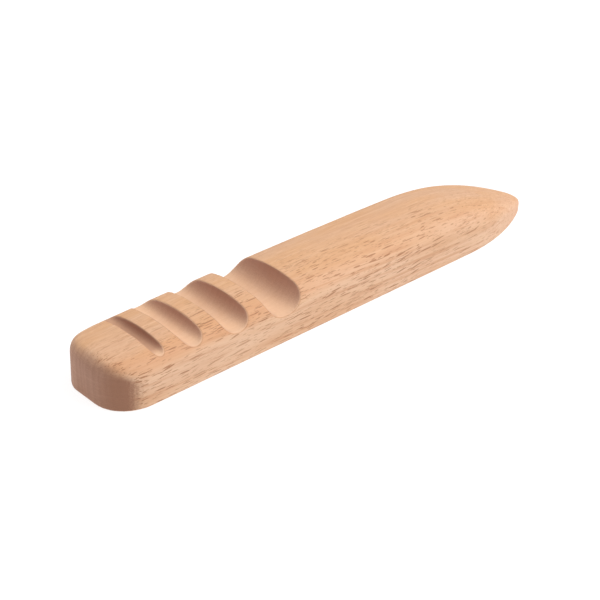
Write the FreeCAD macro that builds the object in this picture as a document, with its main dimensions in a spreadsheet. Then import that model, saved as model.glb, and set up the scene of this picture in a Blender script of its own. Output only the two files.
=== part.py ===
import FreeCAD, Part
import math
import os
import PartDesign
import Sketcher

# Wood edge slicker: one stick of beech, shaped all round and grooved across its top.
# Millimetres. X runs from the square butt to the pointed nose, +Z is up,
# and the origin is the middle of the flat underside.

NODE = "slicker_body"

SIZES = [
    ("length", 155.0, "butt to tip"),
    ("width", 24.0, "across the handle"),
    ("height", 14.4, "underside to the top of the thickest part"),
    ("butt_fall", 2.1, "how far the top has dropped at the butt"),
    ("arch_end", 101.0, "distance from the butt where that drop starts"),
    ("crown_radius", 35.6, "slight rounding across the top"),
    ("shoulder_radius", 5.6, "rounding from the top into the sides"),
    ("lower_radius", 0.8, "easing of the lower edges"),
    ("planing", 0.1, "wood taken off the underside to leave it dead flat"),
    ("butt_corner", 10.0, "plan radius of the two butt corners"),
    ("butt_flat", 1.2, "narrowest flat left between those corners"),
    ("butt_easing", 3.7, "rounding of the butt's top edge"),
    ("butt_lower_easing", 1.2, "rounding of the butt's bottom edge"),
    ("nose_fall_start", 107.0, "distance from the butt where the nose falls"),
    ("nose_plan_start", 120.5, "distance from the butt where the nose narrows"),
    ("tip_radius", 4.4, "plan radius of the tip"),
    ("tip_height", 3.3, "height of the tip before it is eased"),
    ("tip_easing", 1.7, "rounding of the tip's top edge"),
    ("tip_flat", 2.2, "width of the small flat left on the tip"),
]

# name, distance of the centre from the butt, radius, depth below the top
GROOVES = [
    ("groove_wide", 50.6, 5.9, 6.1),
    ("groove_medium", 35.6, 4.2, 4.5),
    ("groove_narrow", 23.3, 3.1, 3.1),
    ("groove_fine", 14.0, 1.55, 2.0),
]

BUTT_ANGLES = {"butt_end": 0.0, "butt_b": 10.0, "butt_c": 22.0, "butt_d": 36.0, "butt_e": 52.0,
               "butt_f": 70.0, "butt_full": 90.0}
HANDLE_SHARES = {"handle_a": 0.25, "handle_b": 0.55, "handle_c": 0.85}
NOSE_SHARES = {"nose_b": 0.1, "nose_c": 0.2, "nose_d": 0.29, "nose_e": 0.38, "nose_f": 0.48,
               "nose_g": 0.58, "nose_h": 0.68, "nose_i": 0.78, "nose_j": 0.87, "nose_k": 0.94}
TIP_SHARES = {"tip_a": 0.0, "tip_b": 0.35, "tip_c": 0.65}


def put(sheet, row, alias, content, note=""):
    sheet.set("A%d" % row, alias)
    sheet.set("B%d" % row, content)
    sheet.set("C%d" % row, note)
    sheet.setAlias("B%d" % row, alias)
    return row + 1


def top_formula(x):
    """Height of the crown at distance x: low arch towards the butt, falling arc on the nose."""
    arch = "(%s < arch_end ? butt_fall * ((arch_end - %s) / arch_end) ^ 2 : 0)" % (x, x)
    past = "(%s - nose_fall_start)" % x
    nose = "(%s > 0 ? fall_arc - sqrt(fall_arc ^ 2 - %s ^ 2) : 0)" % (past, past)
    return "height - %s - %s" % (arch, nose)


def quarter(radius, inward):
    """Drop of a quarter-round edge at a point lying `inward` of its start."""
    return "(%s < %s ? %s - sqrt(%s ^ 2 - (%s - %s) ^ 2) : 0)" % (
        inward, radius, radius, radius, radius, inward)


def station_cells(sheet, row, name, x, half, shoulder, low="0"):
    """The sizes of one cross-section, all worked out from the driving sizes."""
    row = put(sheet, row, name + "_x", "=" + x)
    row = put(sheet, row, name + "_half", "=" + half)
    here = name + "_x"
    back = "(length - %s)" % here
    crown = top_formula(here)
    top = "%s - %s - %s" % (crown, quarter("butt_easing", here), quarter("tip_easing", back))
    row = put(sheet, row, name + "_top", "=" + top)
    row = put(sheet, row, name + "_low", "=%s - planing" % low)
    share = "(%s_half / (width / 2))" % name
    round_ = "min(%s; 0.48 * (%s_top - %s_low))" % (shoulder.replace("SHARE", share), name, name)
    row = put(sheet, row, name + "_shoulder", "=" + round_)
    row = put(sheet, row, name + "_crown", "=crown_radius * %s" % share)
    row = put(sheet, row, name + "_edge", "=lower_radius * %s" % share)
    return row


def add_sheet(doc):
    sheet = doc.addObject("Spreadsheet::Sheet", "sizes")
    row = 1
    for alias, value, note in SIZES:
        row = put(sheet, row, alias, str(value), note)
    for name, x, radius, depth in GROOVES:
        row = put(sheet, row, name + "_x", str(x), "centre, from the butt")
        row = put(sheet, row, name + "_radius", str(radius))
        row = put(sheet, row, name + "_depth", str(depth), "below the top")
    row = put(sheet, row, "corner", "=min(butt_corner; (width - butt_flat) / 2)", "as cut")
    row = put(sheet, row, "fall_run", "=length - nose_fall_start")
    row = put(sheet, row, "fall_rise", "=height - tip_height")
    row = put(sheet, row, "fall_arc", "=(fall_run ^ 2 + fall_rise ^ 2) / (2 * fall_rise)")
    row = put(sheet, row, "plan_run", "=length - tip_radius - nose_plan_start")
    row = put(sheet, row, "plan_arc", "=(plan_run ^ 2 + (width / 2) ^ 2 - tip_radius ^ 2)"
                                      " / (width - 2 * tip_radius)")
    row = put(sheet, row, "tip_lower", "=min(lower_radius; 0.6 * (tip_height - tip_easing))")
    row = put(sheet, row, "tip_angle", "=atan(plan_run / (plan_arc - width / 2))")
    return sheet, row


def add_stations(sheet, row):
    butt_round = "EASE + (shoulder_radius - EASE) * SHARE ^ 4"
    for name, angle in BUTT_ANGLES.items():
        x = "corner * (1 - cos(%s))" % angle
        half = "width / 2 - corner * (1 - sin(%s))" % angle
        low = "butt_lower_easing * (1 - sin(%s)) ^ 3" % angle
        ease = "min(0.8 * butt_easing; 0.75 * %s_half)" % name
        row = station_cells(sheet, row, name, x, half, butt_round.replace("EASE", ease), low)
    run = "(nose_fall_start - corner)"
    for name, share in HANDLE_SHARES.items():
        row = station_cells(sheet, row, name, "corner + %s * %s" % (run, share),
                            "width / 2", "shoulder_radius")
    row = station_cells(sheet, row, "nose_a", "nose_fall_start", "width / 2", "shoulder_radius")
    tangent = "(length - tip_radius + tip_radius * sin(tip_angle))"
    for name, share in NOSE_SHARES.items():
        x = "nose_fall_start + (%s - nose_fall_start) * %s" % (tangent, share)
        past = "(%s_x - nose_plan_start)" % name
        half = "width / 2 - (%s > 0 ? plan_arc - sqrt(plan_arc ^ 2 - %s ^ 2) : 0)" % (past, past)
        row = station_cells(sheet, row, name, x, half, "shoulder_radius * SHARE")
    for name, share in TIP_SHARES.items():
        angle = "(tip_angle + (90 deg - tip_angle) * %s)" % share
        row = station_cells(sheet, row, name, "length - tip_radius + tip_radius * sin(%s)" % angle,
                            "tip_radius * cos(%s)" % angle, "shoulder_radius * SHARE",
                            "tip_lower * %s ^ 4" % share)
    station_cells(sheet, row, "tip_end", "length", "tip_flat / 2", "shoulder_radius * SHARE",
                  "tip_lower")


def plane(body, role):
    return [f for f in body.Origin.OriginFeatures if f.Role == role][0]


def section_points(sheet, name):
    """Corner points and arc centres of one cross-section, to start its sketch from."""
    size = {key: float(sheet.get("%s_%s" % (name, key)))
            for key in ("half", "top", "low", "shoulder", "crown", "edge")}
    across = size["half"] - size["shoulder"]
    reach = size["crown"] - size["shoulder"]
    drop = size["crown"] - math.sqrt(reach ** 2 - across ** 2)
    lean = math.asin(across / reach)
    size["drop"] = drop
    size["lean"] = lean
    size["across"] = across
    return size


def arc(sketch, cx, cy, radius, start, end):
    circle = Part.Circle(FreeCAD.Vector(cx, cy, 0), FreeCAD.Vector(0, 0, 1), radius)
    return sketch.addGeometry(Part.ArcOfCircle(circle, start, end), False)


def line(sketch, x0, y0, x1, y1):
    segment = Part.LineSegment(FreeCAD.Vector(x0, y0, 0), FreeCAD.Vector(x1, y1, 0))
    return sketch.addGeometry(segment, False)


def draw_section(sketch, s):
    """Crown arc, two shoulders, two sides, two eased lower edges and the flat underside."""
    half, top, low, edge = s["half"], s["top"], s["low"], s["edge"]
    upright = math.pi / 2
    crown = arc(sketch, 0, top - s["crown"], s["crown"], upright - s["lean"], upright + s["lean"])
    left = arc(sketch, -s["across"], top - s["drop"], s["shoulder"], upright + s["lean"], math.pi)
    side_l = line(sketch, -half, top - s["drop"], -half, low + edge)
    low_l = arc(sketch, edge - half, low + edge, edge, math.pi, 3 * upright)
    under = line(sketch, edge - half, low, half - edge, low)
    low_r = arc(sketch, half - edge, low + edge, edge, -upright, 0)
    side_r = line(sketch, half, low + edge, half, top - s["drop"])
    right = arc(sketch, s["across"], top - s["drop"], s["shoulder"], 0, upright - s["lean"])
    return crown, left, side_l, low_l, under, low_r, side_r, right


def section(body, sheet, name):
    sketch = body.newObject("Sketcher::SketchObject", name)
    sketch.AttachmentSupport = [(plane(body, "YZ_Plane"), "")]
    sketch.MapMode = "FlatFace"
    sketch.setExpression("AttachmentOffset.Base.z", "sizes.%s_x - sizes.length / 2" % name)
    edges = draw_section(sketch, section_points(sheet, name))
    crown, left, side_l, low_l, under, low_r, side_r, right = edges
    rule = Sketcher.Constraint
    # start point 1 and end point 2 of each edge, going round against the clock
    joins = [(crown, 2, left, 1), (left, 2, side_l, 1), (side_l, 2, low_l, 1), (low_l, 2, under, 1),
             (under, 2, low_r, 1), (low_r, 2, side_r, 1), (side_r, 2, right, 1), (right, 2, crown, 1)]
    for a, end_a, b, end_b in joins:
        sketch.addConstraint(rule("Tangent", a, end_a, b, end_b))
    sketch.addConstraint(rule("Vertical", side_l))
    sketch.addConstraint(rule("Vertical", side_r))
    sketch.addConstraint(rule("Symmetric", under, 1, under, 2, -2))
    sketch.addConstraint(rule("Equal", left, right))
    sketch.addConstraint(rule("Equal", low_l, low_r))
    sketch.addConstraint(rule("PointOnObject", crown, 3, -2))
    s = section_points(sheet, name)
    sizes = [("half", rule("DistanceX", -1, 1, side_r, 1, s["half"]), "%s_half"),
             ("low", rule("DistanceY", -1, 1, under, 1, s["low"]), "%s_low"),
             ("edge", rule("Radius", low_r, s["edge"]), "%s_edge"),
             ("shoulder", rule("Radius", right, s["shoulder"]), "%s_shoulder"),
             ("crown", rule("Radius", crown, s["crown"]), "%s_crown"),
             ("centre", rule("DistanceY", crown, 3, -1, 1, s["crown"] - s["top"]),
              "%s_crown - sizes.%s_top")]
    for key, constraint, formula in sizes:
        index = sketch.addConstraint(constraint)
        sketch.renameConstraint(index, key)
        count = formula.count("%s")
        sketch.setExpression("Constraints." + key, "sizes." + formula % ((name,) * count))
    return sketch


def loft(body, name, sections):
    feature = body.newObject("PartDesign::AdditiveLoft", name)
    feature.Profile = sections[0]
    feature.Sections = sections[1:]
    feature.Ruled = False
    return feature


def groove(body, name):
    """A round-bottomed slot across the stick, with upright walls above its half-round floor."""
    sketch = body.newObject("Sketcher::SketchObject", name + "_slot")
    sketch.AttachmentSupport = [(plane(body, "XZ_Plane"), "")]
    sketch.MapMode = "FlatFace"
    floor = arc(sketch, 0, 20, 5, math.pi, 2 * math.pi)
    right = line(sketch, 5, 20, 5, 30)
    over = line(sketch, 5, 30, -5, 30)
    left = line(sketch, -5, 30, -5, 20)
    rule = Sketcher.Constraint
    sketch.addConstraint(rule("Tangent", floor, 2, right, 1))
    sketch.addConstraint(rule("Coincident", right, 2, over, 1))
    sketch.addConstraint(rule("Coincident", over, 2, left, 1))
    sketch.addConstraint(rule("Tangent", left, 2, floor, 1))
    sketch.addConstraint(rule("Vertical", right))
    sketch.addConstraint(rule("Vertical", left))
    sketch.addConstraint(rule("Horizontal", over))
    top = top_formula(name + "_x")
    for alias in ("arch_end", "butt_fall", "nose_fall_start", "fall_arc", "height", name + "_x"):
        top = top.replace(alias, "sizes." + alias)
    sizes = [("x", rule("DistanceX", -1, 1, floor, 3, 1.0), "sizes.%s_x - sizes.length / 2" % name),
             ("z", rule("DistanceY", -1, 1, floor, 3, 20.0),
              "%s - sizes.%s_depth + sizes.%s_radius" % (top, name, name)),
             ("radius", rule("Radius", floor, 5.0), "sizes.%s_radius" % name),
             ("rise", rule("DistanceY", right, 1, right, 2, 10.0), "sizes.height")]
    for key, constraint, formula in sizes:
        index = sketch.addConstraint(constraint)
        sketch.renameConstraint(index, key)
        sketch.setExpression("Constraints." + key, formula)
    pocket = body.newObject("PartDesign::Pocket", name)
    pocket.Profile = sketch
    pocket.Type = "ThroughAll"
    pocket.Midplane = True
    return pocket


def plane_underside(body):
    """Cuts away everything below Z = 0, so that the underside is one flat face."""
    sketch = body.newObject("Sketcher::SketchObject", "underside_strip")
    sketch.AttachmentSupport = [(plane(body, "XZ_Plane"), "")]
    sketch.MapMode = "FlatFace"
    corners = [(-90, -5), (90, -5), (90, 0), (-90, 0)]
    for start, end in zip(corners, corners[1:] + corners[:1]):
        line(sketch, *start, *end)
    rule = Sketcher.Constraint
    for edge in range(4):
        sketch.addConstraint(rule("Coincident", edge, 2, (edge + 1) % 4, 1))
    for edge in (0, 2):
        sketch.addConstraint(rule("Horizontal", edge))
    sketch.addConstraint(rule("Symmetric", 2, 1, 2, 2, -1, 1))
    sketch.addConstraint(rule("Vertical", 1))
    sketch.addConstraint(rule("Vertical", 3))
    run = sketch.addConstraint(rule("DistanceX", 0, 1, 0, 2, 180))
    sketch.renameConstraint(run, "run")
    sketch.setExpression("Constraints.run", "sizes.length + 25")
    sketch.addConstraint(rule("DistanceY", 0, 2, 1, 2, 5))
    pocket = body.newObject("PartDesign::Pocket", "underside")
    pocket.Profile = sketch
    pocket.Type = "ThroughAll"
    pocket.Midplane = True
    return pocket


def build_body(doc, sheet):
    body = doc.addObject("PartDesign::Body", NODE)
    body.Label = NODE
    body.Placement = FreeCAD.Placement()
    butt = [section(body, sheet, name) for name in BUTT_ANGLES]
    handle = [section(body, sheet, name) for name in HANDLE_SHARES]
    start = section(body, sheet, "nose_a")
    nose = [section(body, sheet, name) for name in list(NOSE_SHARES) + list(TIP_SHARES) + ["tip_end"]]
    loft(body, "handle", [butt[-1]] + handle + [start])
    loft(body, "butt", butt)
    loft(body, "nose", [start] + nose)
    plane_underside(body)
    for name, _x, _radius, _depth in GROOVES:
        groove(body, name)
    return body


def check(doc, body):
    for obj in doc.Objects:
        if "Invalid" in obj.State or "Error" in obj.State:
            raise RuntimeError("%s did not compute: %s" % (obj.Name, obj.State))
    if body.Shape.isNull() or not body.Shape.isValid() or len(body.Shape.Solids) != 1:
        raise RuntimeError("%s is not one valid solid" % body.Label)
    before = doc.getObject("nose").Shape.Volume
    for name in ["underside"] + [groove_sizes[0] for groove_sizes in GROOVES]:
        after = doc.getObject(name).Shape.Volume
        if after > before - 5.0:
            raise RuntimeError("%s cut nothing" % name)
        before = after


def main():
    doc = FreeCAD.newDocument("edge_slicker")
    sheet, row = add_sheet(doc)
    add_stations(sheet, row)
    doc.recompute()
    body = build_body(doc, sheet)
    doc.recompute()
    check(doc, body)
    os.makedirs("parts", exist_ok=True)
    body.Shape.exportStep("parts/%s.step" % body.Label)
    box = body.Shape.optimalBoundingBox(False, False)
    print(body.Label, "volume %.0f mm3" % body.Shape.Volume, box)


main()
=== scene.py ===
import math
import bmesh
import bpy
from mathutils import Matrix, Vector, noise


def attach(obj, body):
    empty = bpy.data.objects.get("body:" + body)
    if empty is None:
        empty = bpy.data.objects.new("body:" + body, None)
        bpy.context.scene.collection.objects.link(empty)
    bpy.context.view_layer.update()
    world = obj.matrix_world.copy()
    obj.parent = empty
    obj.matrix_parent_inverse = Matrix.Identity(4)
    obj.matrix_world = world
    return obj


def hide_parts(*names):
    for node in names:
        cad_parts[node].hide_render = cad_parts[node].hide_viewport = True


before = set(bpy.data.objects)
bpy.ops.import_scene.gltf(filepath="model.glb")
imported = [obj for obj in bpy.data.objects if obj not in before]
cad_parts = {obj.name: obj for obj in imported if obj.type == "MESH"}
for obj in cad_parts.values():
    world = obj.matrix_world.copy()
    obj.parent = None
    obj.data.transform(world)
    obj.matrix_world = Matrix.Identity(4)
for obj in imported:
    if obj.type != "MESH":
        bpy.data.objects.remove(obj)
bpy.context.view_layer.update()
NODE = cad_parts["slicker_body"]

# ---------------------------------------------------------------- settings
MM = 0.001
MESH_STEP = 0.355 * MM         # spacing of the dense mesh
WAVE = 0.045 * MM              # unevenness left by hand sanding
RAISED_GRAIN = 0.010 * MM      # fibres standing up along the grain
UNTOUCHED = 0.6                # mm above the underside that sanding leaves as it is
# the part's four grooves, in mm: middle along X, height of the floor's axis, radius
GROOVES = [(-26.9, 13.68, 5.9), (-41.9, 13.22, 4.2), (-54.2, 13.16, 3.1), (-63.5, 12.39, 1.55)]

# camera: where the viewer stands, the way they look, and the lens
CAMERA_AT = Vector((-0.20952, -0.19613, 0.16578))
CAMERA_AZIMUTH, CAMERA_ELEVATION, CAMERA_ROLL = 45.411, 30.625, 2.931
CAMERA_LENS = 76.0698


# ---------------------------------------------------------------- the wooden piece
def dense_copy(node, name):
    """A fine even mesh over the CAD node's shape, with its hard edges just broken."""
    source = bpy.data.objects.new(name + "_source", node.data.copy())
    bpy.context.scene.collection.objects.link(source)
    work = bmesh.new()
    work.from_mesh(source.data)
    bmesh.ops.remove_doubles(work, verts=work.verts, dist=1e-6)
    work.to_mesh(source.data)
    work.free()
    remesh = source.modifiers.new("even", "REMESH")
    remesh.mode = "VOXEL"
    remesh.voxel_size = MESH_STEP
    wrap = source.modifiers.new("back_onto_shape", "SHRINKWRAP")
    wrap.target = node
    wrap.wrap_method = "NEAREST_SURFACEPOINT"
    ease = source.modifiers.new("break_edges", "SMOOTH")
    ease.factor = 0.5
    ease.iterations = 1
    bpy.context.view_layer.update()
    graph = bpy.context.evaluated_depsgraph_get()
    mesh = bpy.data.meshes.new_from_object(source.evaluated_get(graph))
    mesh.name = name
    bpy.data.objects.remove(source)
    mesh.materials.clear()
    piece = bpy.data.objects.new(name, mesh)
    bpy.context.scene.collection.objects.link(piece)
    return piece


def hand_sanded(piece):
    """Low waves along the grain and a very fine raised grain, pushed inwards so nothing grows."""
    mesh = piece.data
    normals = [v.normal.copy() for v in mesh.vertices]
    for v, n in zip(mesh.vertices, normals):
        p = v.co / MM
        if p.z < UNTOUCHED:
            continue
        wave = noise.noise(Vector((p.x / 11.0, p.y / 4.5, p.z / 4.5)))
        fibre = noise.noise(Vector((p.x / 5.0, p.y / 0.55, p.z / 0.55 + 7.0)))
        depth = WAVE * (0.5 + 0.5 * wave) + RAISED_GRAIN * (0.5 + 0.5 * fibre)
        v.co -= n * depth
    for face in mesh.polygons:
        face.use_smooth = True


# ---------------------------------------------------------------- node helpers
class Nodes:
    """A short way of writing a material's node tree."""

    def __init__(self, name):
        self.material = bpy.data.materials.new(name)
        self.material.use_nodes = True
        self.tree = self.material.node_tree
        self.tree.nodes.clear()

    def node(self, kind, **settings):
        made = self.tree.nodes.new(kind)
        for key, value in settings.items():
            setattr(made, key, value)
        return made

    def feed(self, socket, value):
        if isinstance(value, bpy.types.NodeSocket):
            self.tree.links.new(value, socket)
        elif value is not None:
            socket.default_value = value

    def math(self, operation, a, b=None, c=None, clamp=False):
        made = self.node("ShaderNodeMath", operation=operation, use_clamp=clamp)
        for socket, value in zip(made.inputs, (a, b, c)):
            self.feed(socket, value)
        return made.outputs[0]

    def vector(self, operation, a, b=None, out=0):
        made = self.node("ShaderNodeVectorMath", operation=operation)
        self.feed(made.inputs[0], a)
        self.feed(made.inputs[1], b)
        return made.outputs[out]

    def split(self, vector):
        made = self.node("ShaderNodeSeparateXYZ")
        self.feed(made.inputs[0], vector)
        return made.outputs[0], made.outputs[1], made.outputs[2]

    def join(self, x, y, z):
        made = self.node("ShaderNodeCombineXYZ")
        for socket, value in zip(made.inputs, (x, y, z)):
            self.feed(socket, value)
        return made.outputs[0]

    def scaled(self, vector, x, y, z):
        return self.vector("MULTIPLY", vector, (x, y, z))

    def noise(self, vector, detail=2.0, roughness=0.5, distortion=0.0):
        made = self.node("ShaderNodeTexNoise")
        self.feed(made.inputs["Vector"], vector)
        made.inputs["Scale"].default_value = 1.0
        made.inputs["Detail"].default_value = detail
        made.inputs["Roughness"].default_value = roughness
        made.inputs["Distortion"].default_value = distortion
        return made.outputs["Fac"]

    def cells(self, vector):
        """Nearest of a scatter of points: a random colour for it, and where it is."""
        made = self.node("ShaderNodeTexVoronoi", feature="F1")
        self.feed(made.inputs["Vector"], vector)
        made.inputs["Scale"].default_value = 1.0
        return made.outputs["Color"], made.outputs["Position"]

    def smooth(self, value, low, high, to_low=0.0, to_high=1.0):
        made = self.node("ShaderNodeMapRange", interpolation_type="SMOOTHSTEP")
        self.feed(made.inputs["Value"], value)
        self.feed(made.inputs["From Min"], low)
        self.feed(made.inputs["From Max"], high)
        self.feed(made.inputs["To Min"], to_low)
        self.feed(made.inputs["To Max"], to_high)
        return made.outputs["Result"]

    def mix_value(self, factor, a, b):
        made = self.node("ShaderNodeMix", data_type="FLOAT", clamp_factor=True)
        self.feed(made.inputs[0], factor)
        self.feed(made.inputs[2], a)
        self.feed(made.inputs[3], b)
        return made.outputs[0]

    def mix(self, factor, a, b, blend="MIX"):
        made = self.node("ShaderNodeMix", data_type="RGBA", blend_type=blend, clamp_factor=True)
        self.feed(made.inputs[0], factor)
        self.feed(made.inputs[6], a)
        self.feed(made.inputs[7], b)
        return made.outputs[2]


def rgb(r, g, b):
    """A colour written as 0-255 screen values."""
    def linear(c):
        c /= 255.0
        return c / 12.92 if c <= 0.04045 else ((c + 0.055) / 1.055) ** 2.4
    return (linear(r), linear(g), linear(b), 1.0)


# ---------------------------------------------------------------- beech
# Dark dashes of the wood's rays. Each kind: the cell that holds one dash, in mm along and across
# the grain; its length and width in mm; the share of cells that have one; and where the pattern starts.
FLECKS = {
    "big": ((6.4, 0.78, 0.78), 2.9, 0.23, 0.95, 0.0),
    "medium": ((4.0, 0.56, 0.56), 1.7, 0.16, 0.90, 2.1),
    "small": ((2.0, 0.40, 0.40), 0.75, 0.11, 0.80, 5.3),
    "slim": ((5.6, 0.46, 0.46), 2.6, 0.10, 0.90, 3.7),
}
RING_HEART = (-95.0, 8.0)      # mm across and up: the middle of the tree, well outside the stick
RINGS_PER_MM = 0.62


def dashes(n, grain, cell, length, width, share, shift):
    """Scattered slim dashes lying along the grain: 1 inside and 0 outside."""
    spot = n.vector("ADD", n.scaled(grain, *(1 / c for c in cell)), (shift, shift * 1.7, shift * 0.6))
    colour, centre = n.cells(spot)
    away = n.scaled(n.vector("SUBTRACT", spot, centre), *cell)
    chance, how_long, how_wide = n.split(colour)
    dx, dy, dz = n.split(away)
    # each dash tilts a little of its own
    dz = n.math("MULTIPLY_ADD", dx, n.math("MULTIPLY_ADD", chance, 0.24, -0.20), dz)
    along = n.math("DIVIDE", dx, n.math("MULTIPLY_ADD", how_long, 0.9 * length, 0.35 * length))
    thick = n.math("MULTIPLY_ADD", how_wide, 0.6 * width, 0.5 * width)
    off = n.math("DIVIDE", dy, thick)
    over = n.math("DIVIDE", dz, thick)
    reach = n.vector("LENGTH", n.join(along, off, over), out=1)
    return n.math("MULTIPLY", n.smooth(reach, 1.0, 0.72), n.smooth(chance, 1 - share, 1.02 - share))


def in_grooves(n, p):
    """Two masks: the walls and floors of the grooves, and a hairline just outside their rims."""
    x, _y, z = n.split(p)
    found, rims = None, None
    for along, height, radius in GROOVES:
        dx = n.math("ADD", x, -along)
        # above the floor's axis the walls stand upright, so only the distance along counts
        dz = n.math("MINIMUM", n.math("ADD", z, -height), 0.0)
        reach = n.math("SQRT", n.math("MULTIPLY_ADD", dx, dx, n.math("MULTIPLY", dz, dz)))
        here = n.smooth(reach, radius + 0.22, radius + 0.08)
        rim = n.smooth(reach, radius + 0.42, radius + 0.20)
        found = here if found is None else n.math("MAXIMUM", found, here)
        rims = rim if rims is None else n.math("MAXIMUM", rims, rim)
    return found, n.math("SUBTRACT", rims, found)


class Wood:
    """The places, directions and patterns, in mm, that the beech is mixed from."""

    def __init__(self, n):
        where = n.node("ShaderNodeTexCoord")
        self.p = n.scaled(where.outputs["Object"], 1 / MM, 1 / MM, 1 / MM)
        self.x, self.y, self.z = n.split(self.p)
        self.nx, self.ny, self.nz = n.split(where.outputs["Normal"])
        self.facing_end = n.math("ABSOLUTE", self.nx)
        self.facing_side = n.math("ABSOLUTE", self.ny)
        self.groove, self.rim = in_grooves(n, self.p)
        self.plain = n.math("SUBTRACT", 1.0, self.groove)
        self.grain = self.wandering(n)
        self.late = self.rings(n)
        g = self.grain
        # fibres, streaks, broad patches and pores, all drawn out along the grain
        self.fibre = n.noise(n.scaled(g, 1 / 9, 1 / 0.24, 1 / 0.24), 3.0, 0.6)
        self.streak = n.noise(n.scaled(g, 1 / 34, 1 / 1.0, 1 / 1.0), 2.0, 0.55)
        self.patch = n.noise(n.scaled(g, 1 / 40, 1 / 8, 1 / 5), 2.0, 0.5)
        self.cloud = n.noise(n.scaled(self.p, 1 / 16, 1 / 9, 1 / 9), 2.0, 0.5)
        self.pore = n.noise(n.scaled(g, 1 / 3.0, 1 / 0.20, 1 / 0.20), 2.0, 0.6)
        self.fleck = {kind: dashes(n, g, *sizes) for kind, sizes in FLECKS.items()}
        self.endness = self.end_share(n)

    def wandering(self, n):
        """Coordinates that drift a little from the stick's own line, as the grain does."""
        drift_y = n.math("SUBTRACT", n.noise(n.scaled(self.p, 1 / 70, 1 / 26, 1 / 26), 1.0), 0.5)
        drift_z = n.math("SUBTRACT", n.noise(n.scaled(self.p, 1 / 55, 1 / 22, 1 / 22), 1.0), 0.5)
        self.gy = n.math("MULTIPLY_ADD", drift_y, 2.6, n.math("MULTIPLY_ADD", self.x, 0.012, self.y))
        self.gz = n.math("MULTIPLY_ADD", drift_z, 2.0, n.math("MULTIPLY_ADD", self.x, 0.016, self.z))
        return n.join(self.x, self.gy, self.gz)

    def rings(self, n):
        """0 in a ring's early wood, rising to 1 at its dark late edge."""
        out_y = n.math("ADD", self.gy, -RING_HEART[0])
        out_z = n.math("ADD", self.gz, -RING_HEART[1])
        radius = n.math("SQRT", n.math("ADD", n.math("MULTIPLY", out_y, out_y),
                                       n.math("MULTIPLY", out_z, out_z)))
        place = n.join(n.math("MULTIPLY", self.x, 0.004), n.math("MULTIPLY", radius, 0.3), 0.0)
        uneven = n.noise(place, 1.0)
        phase = n.math("MULTIPLY_ADD", uneven, 3.0, n.math("MULTIPLY", radius, RINGS_PER_MM))
        turn = n.math("FRACT", phase)
        return n.math("MULTIPLY", n.smooth(turn, 0.25, 0.93), n.smooth(turn, 0.995, 0.92))

    def end_share(self, n):
        """How far end grain shows: it sets in crisply on the sides and softly on upward faces."""
        fray = n.math("MULTIPLY", n.math("SUBTRACT", self.pore, 0.5), 0.30)
        edge = n.math("ADD", self.facing_end, fray)
        crisp = n.smooth(edge, 0.18, 0.58)
        soft = n.smooth(edge, 0.25, 1.08)
        return n.mix_value(n.smooth(self.nz, 0.05, 0.45), crisp, soft)


def long_grain(n, w):
    """Tan on top, pinker and paler on the sides, with a warmer band along the near shoulder."""
    patchy = n.smooth(w.patch, 0.34, 0.66)
    top = n.mix(patchy, rgb(224, 175, 133), rgb(222, 178, 144))
    side = n.mix(patchy, rgb(224, 177, 140), rgb(232, 191, 159))
    tone = n.mix(n.smooth(w.facing_side, 0.30, 0.95), top, side)
    red = n.math("MULTIPLY", n.smooth(w.streak, 0.50, 0.70),
                 n.smooth(w.facing_side, 0.05, 0.7, 0.22, 0.60))
    tone = n.mix(red, tone, rgb(206, 150, 113))
    pale = n.math("MULTIPLY", n.smooth(w.streak, 0.46, 0.30), 0.35)
    tone = n.mix(pale, tone, rgb(236, 196, 161))
    tone = n.mix(n.smooth(w.fibre, 0.50, 0.74, 0.0, 0.42), tone, rgb(204, 152, 115))
    tone = n.mix(n.smooth(w.fibre, 0.48, 0.28, 0.0, 0.32), tone, rgb(243, 206, 172))
    ring_show = n.math("MULTIPLY", w.late, n.smooth(w.facing_side, 0.2, 0.9, 0.20, 0.16))
    tone = n.mix(ring_show, tone, rgb(206, 150, 112))
    shoulder = n.math("MULTIPLY", n.smooth(w.ny, -0.05, -0.40), n.smooth(w.nz, 0.20, 0.60))
    warm = n.math("MULTIPLY", shoulder, n.smooth(w.x, 20.0, -45.0, 0.12, 0.55))
    return n.mix(warm, tone, rgb(217, 158, 114))


def with_flecks(n, w, tone):
    """Adds the dashes: thick on both sides and the near half of the top, thin on the nose."""
    near = n.smooth(w.ny, 0.14, -0.20, 0.10, 1.0)
    far = n.smooth(w.ny, 0.55, 0.95, 0.0, 0.75)
    thinned = n.math("MULTIPLY", w.plain, n.smooth(w.x, 15.0, 70.0, 1.0, 0.45))
    clouded = n.math("MULTIPLY", thinned, n.smooth(w.cloud, 0.30, 0.55, 0.55, 1.0))
    show = n.math("MULTIPLY", n.math("MAXIMUM", near, far), clouded)
    for kind, strength, colour in (("big", 0.74, rgb(164, 108, 70)),
                                   ("medium", 0.64, rgb(168, 112, 74)),
                                   ("small", 0.36, rgb(178, 122, 84)),
                                   ("slim", n.smooth(w.x, 60.0, -20.0, 0.15, 0.85), rgb(164, 108, 72))):
        amount = n.math("MULTIPLY", w.fleck[kind], n.math("MULTIPLY", show, strength))
        tone = n.mix(amount, tone, colour)
    # a faint scatter of small ones everywhere outside the grooves
    everywhere = n.math("MULTIPLY", w.fleck["small"], n.math("MULTIPLY", w.plain, 0.16))
    return n.mix(everywhere, tone, rgb(168, 115, 82))


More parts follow.
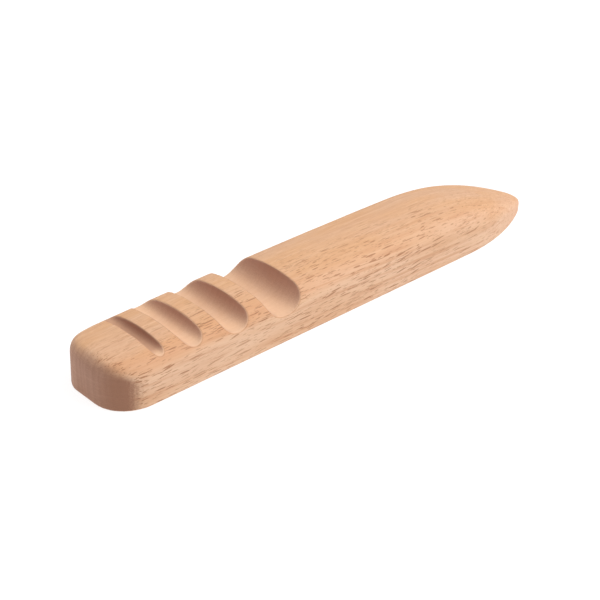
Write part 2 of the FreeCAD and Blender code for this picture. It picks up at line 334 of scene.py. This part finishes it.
def end_grain(n, w):
    """Darker, with pores and upright bands; browner on the near side, and on the nose made pale with
    painted light.
    """
    ray_lines = n.noise(n.scaled(w.grain, 1 / 8.0, 1 / 6.0, 1 / 0.34), 2.0, 0.55)
    end = n.mix(n.smooth(w.cloud, 0.35, 0.65), rgb(190, 149, 128), rgb(183, 139, 116))
    end = n.mix(n.math("MULTIPLY", w.late, 0.45), end, rgb(160, 116, 95))
    end = n.mix(n.smooth(w.pore, 0.46, 0.68, 0.0, 0.35), end, rgb(152, 109, 88))
    end = n.mix(n.smooth(w.pore, 0.50, 0.30, 0.0, 0.25), end, rgb(205, 164, 142))
    end = n.mix(n.smooth(ray_lines, 0.52, 0.66, 0.0, 0.35), end, rgb(206, 163, 140))
    end = n.mix(n.smooth(w.ny, -0.20, -0.70, 0.0, 0.8), end, rgb(166, 116, 88))
    end = n.mix(n.smooth(w.ny, 0.35, -0.05, 0.0, 0.45), end, rgb(156, 112, 90))
    # painted light: the end grain on the nose is made pale as if lit strongly from that end
    return n.mix(n.smooth(w.x, 40.0, 70.0), end, rgb(226, 178, 146))


def with_grooves(n, w, colour):
    """Tints the grooves: floors paler with painted light, walls darker with end grain and painted shade, a
    thin dark line round each rim.
    """
    # painted light and shade: the pale floor colour is painted light; the dark wall colour is end grain
    # with painted shade added
    groove_grain_and_painted_light = n.mix(w.endness, rgb(242, 203, 171), rgb(194, 144, 122))
    colour = n.mix(n.math("MULTIPLY", w.groove, 0.5), colour, groove_grain_and_painted_light)
    colour = n.mix(n.math("MULTIPLY", w.rim, 0.35), colour, rgb(176, 124, 92))
    # a darker tint in the finest groove stands in for the shade of a slot deeper than the modelled one
    finest = n.math("MULTIPLY", w.groove, n.smooth(w.x, -61.0, -61.4))
    away_from_near_end = n.smooth(w.y, -9.5, -6.5, 0.0, 0.6)
    return n.mix(n.math("MULTIPLY", finest, away_from_near_end), colour, rgb(166, 118, 94))


def relief(n, w):
    """Flecks and late wood lie a hair below the surface; fibres and the pore pattern rise a hair above."""
    height = n.math("MULTIPLY_ADD", w.fibre, 0.5, n.math("MULTIPLY", w.pore, 0.35))
    deep = n.math("MULTIPLY", n.math("MAXIMUM", w.fleck["big"], w.fleck["medium"]), w.plain)
    height = n.math("SUBTRACT", height, n.math("MULTIPLY", deep, 0.6))
    small = n.math("MULTIPLY", w.fleck["small"], w.plain)
    height = n.math("SUBTRACT", height, n.math("MULTIPLY", small, 0.3))
    height = n.math("SUBTRACT", height, n.math("MULTIPLY", w.late, 0.12))
    bump = n.node("ShaderNodeBump")
    bump.inputs["Strength"].default_value = 0.5
    bump.inputs["Distance"].default_value = 0.09 * MM
    n.feed(bump.inputs["Height"], height)
    return bump.outputs["Normal"]


def roughness(n, w):
    """Matt all over, and mattest on end grain."""
    rough = n.math("MULTIPLY_ADD", w.fibre, 0.16, 0.54)
    rough = n.math("MULTIPLY_ADD", w.endness, 0.14, rough)
    return n.math("MULTIPLY_ADD", w.late, -0.05, rough, clamp=True)


def beech(name):
    """Bare sanded beech."""
    n = Nodes(name)
    w = Wood(n)
    colour = n.mix(w.endness, with_flecks(n, w, long_grain(n, w)), end_grain(n, w))
    surface = n.node("ShaderNodeBsdfPrincipled")
    n.feed(surface.inputs["Base Color"], with_grooves(n, w, colour))
    n.feed(surface.inputs["Roughness"], roughness(n, w))
    surface.inputs["Specular IOR Level"].default_value = 0.32
    n.feed(surface.inputs["Normal"], relief(n, w))
    out = n.node("ShaderNodeOutputMaterial")
    n.feed(out.inputs["Surface"], surface.outputs[0])
    return n.material


# ---------------------------------------------------------------- floor, light, camera
def white_floor():
    """A white floor that gives off light of its own, so that it shows no shadow."""
    mesh = bpy.data.meshes.new("floor")
    size = 3.0
    mesh.from_pydata([(-size, -size, 0), (size, -size, 0), (size, size, 0), (-size, size, 0)], [],
                     [(0, 1, 2, 3)])
    floor = bpy.data.objects.new("floor", mesh)
    floor.location.z = -0.00002
    bpy.context.scene.collection.objects.link(floor)
    n = Nodes("floor_white")
    place = n.node("ShaderNodeTexCoord").outputs["Object"]
    mottled = n.noise(n.vector("MULTIPLY", place, (6.0, 6.0, 6.0)), 2.0)
    surface = n.node("ShaderNodeBsdfPrincipled")
    n.feed(surface.inputs["Base Color"], n.mix(mottled, (0.24, 0.24, 0.24, 1), (0.26, 0.26, 0.26, 1)))
    surface.inputs["Roughness"].default_value = 0.9
    surface.inputs["Specular IOR Level"].default_value = 0.0
    surface.inputs["Emission Color"].default_value = (1, 1, 1, 1)
    surface.inputs["Emission Strength"].default_value = 0.86
    out = n.node("ShaderNodeOutputMaterial")
    n.feed(out.inputs["Surface"], surface.outputs[0])
    mesh.materials.append(n.material)


def softbox(name, at, size, watts):
    """A square lamp at a place in metres, turned towards the stick."""
    light = bpy.data.lights.new(name, "AREA")
    light.shape = "SQUARE"
    light.size = size
    light.energy = watts
    lamp = bpy.data.objects.new(name, light)
    lamp.location = at
    lamp.rotation_euler = (-Vector(at)).to_track_quat("-Z", "Y").to_euler()
    bpy.context.scene.collection.objects.link(lamp)


def studio():
    """A large soft key from the nose's near side, one overhead, and a weak fill from behind the butt."""
    scene = bpy.context.scene
    world = bpy.data.worlds.new("studio")
    world.use_nodes = True
    world.node_tree.nodes["Background"].inputs[0].default_value = (1.0, 1.0, 1.0, 1.0)
    world.node_tree.nodes["Background"].inputs[1].default_value = 0.30
    scene.world = world
    softbox("key", (0.50, -0.45, 0.80), 0.7, 8.2)
    softbox("top", (0.00, 0.05, 1.00), 0.7, 2.6)
    softbox("fill", (-0.55, 0.50, 0.40), 0.6, 1.4)
    scene.view_settings.view_transform = "Standard"
    scene.view_settings.look = "None"
    scene.view_settings.exposure = 0.0
    scene.view_settings.gamma = 1.0


def camera():
    """A viewpoint looking down along the stick, over the butt's near corner."""
    az, el, roll = (math.radians(a) for a in (CAMERA_AZIMUTH, CAMERA_ELEVATION, CAMERA_ROLL))
    right = Vector((math.cos(az), -math.sin(az), 0.0))
    ahead = Vector((math.sin(az) * math.cos(el), math.cos(az) * math.cos(el), -math.sin(el)))
    up = right.cross(ahead)
    side = right * math.cos(roll) + up * math.sin(roll)
    top = up * math.cos(roll) - right * math.sin(roll)
    turn = Matrix((side, top, -ahead)).transposed().to_4x4()
    data = bpy.data.cameras.new("camera")
    data.lens = CAMERA_LENS
    data.sensor_width = 36.0
    data.clip_start = 0.01
    data.clip_end = 20.0
    view = bpy.data.objects.new("camera", data)
    view.matrix_world = Matrix.Translation(CAMERA_AT) @ turn
    bpy.context.scene.collection.objects.link(view)
    bpy.context.scene.camera = view


# ---------------------------------------------------------------- put together
body = dense_copy(NODE, "slicker_beech")
hand_sanded(body)
body.data.materials.append(beech("beech"))
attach(body, "root")
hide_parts("slicker_body")

white_floor()
studio()
camera()
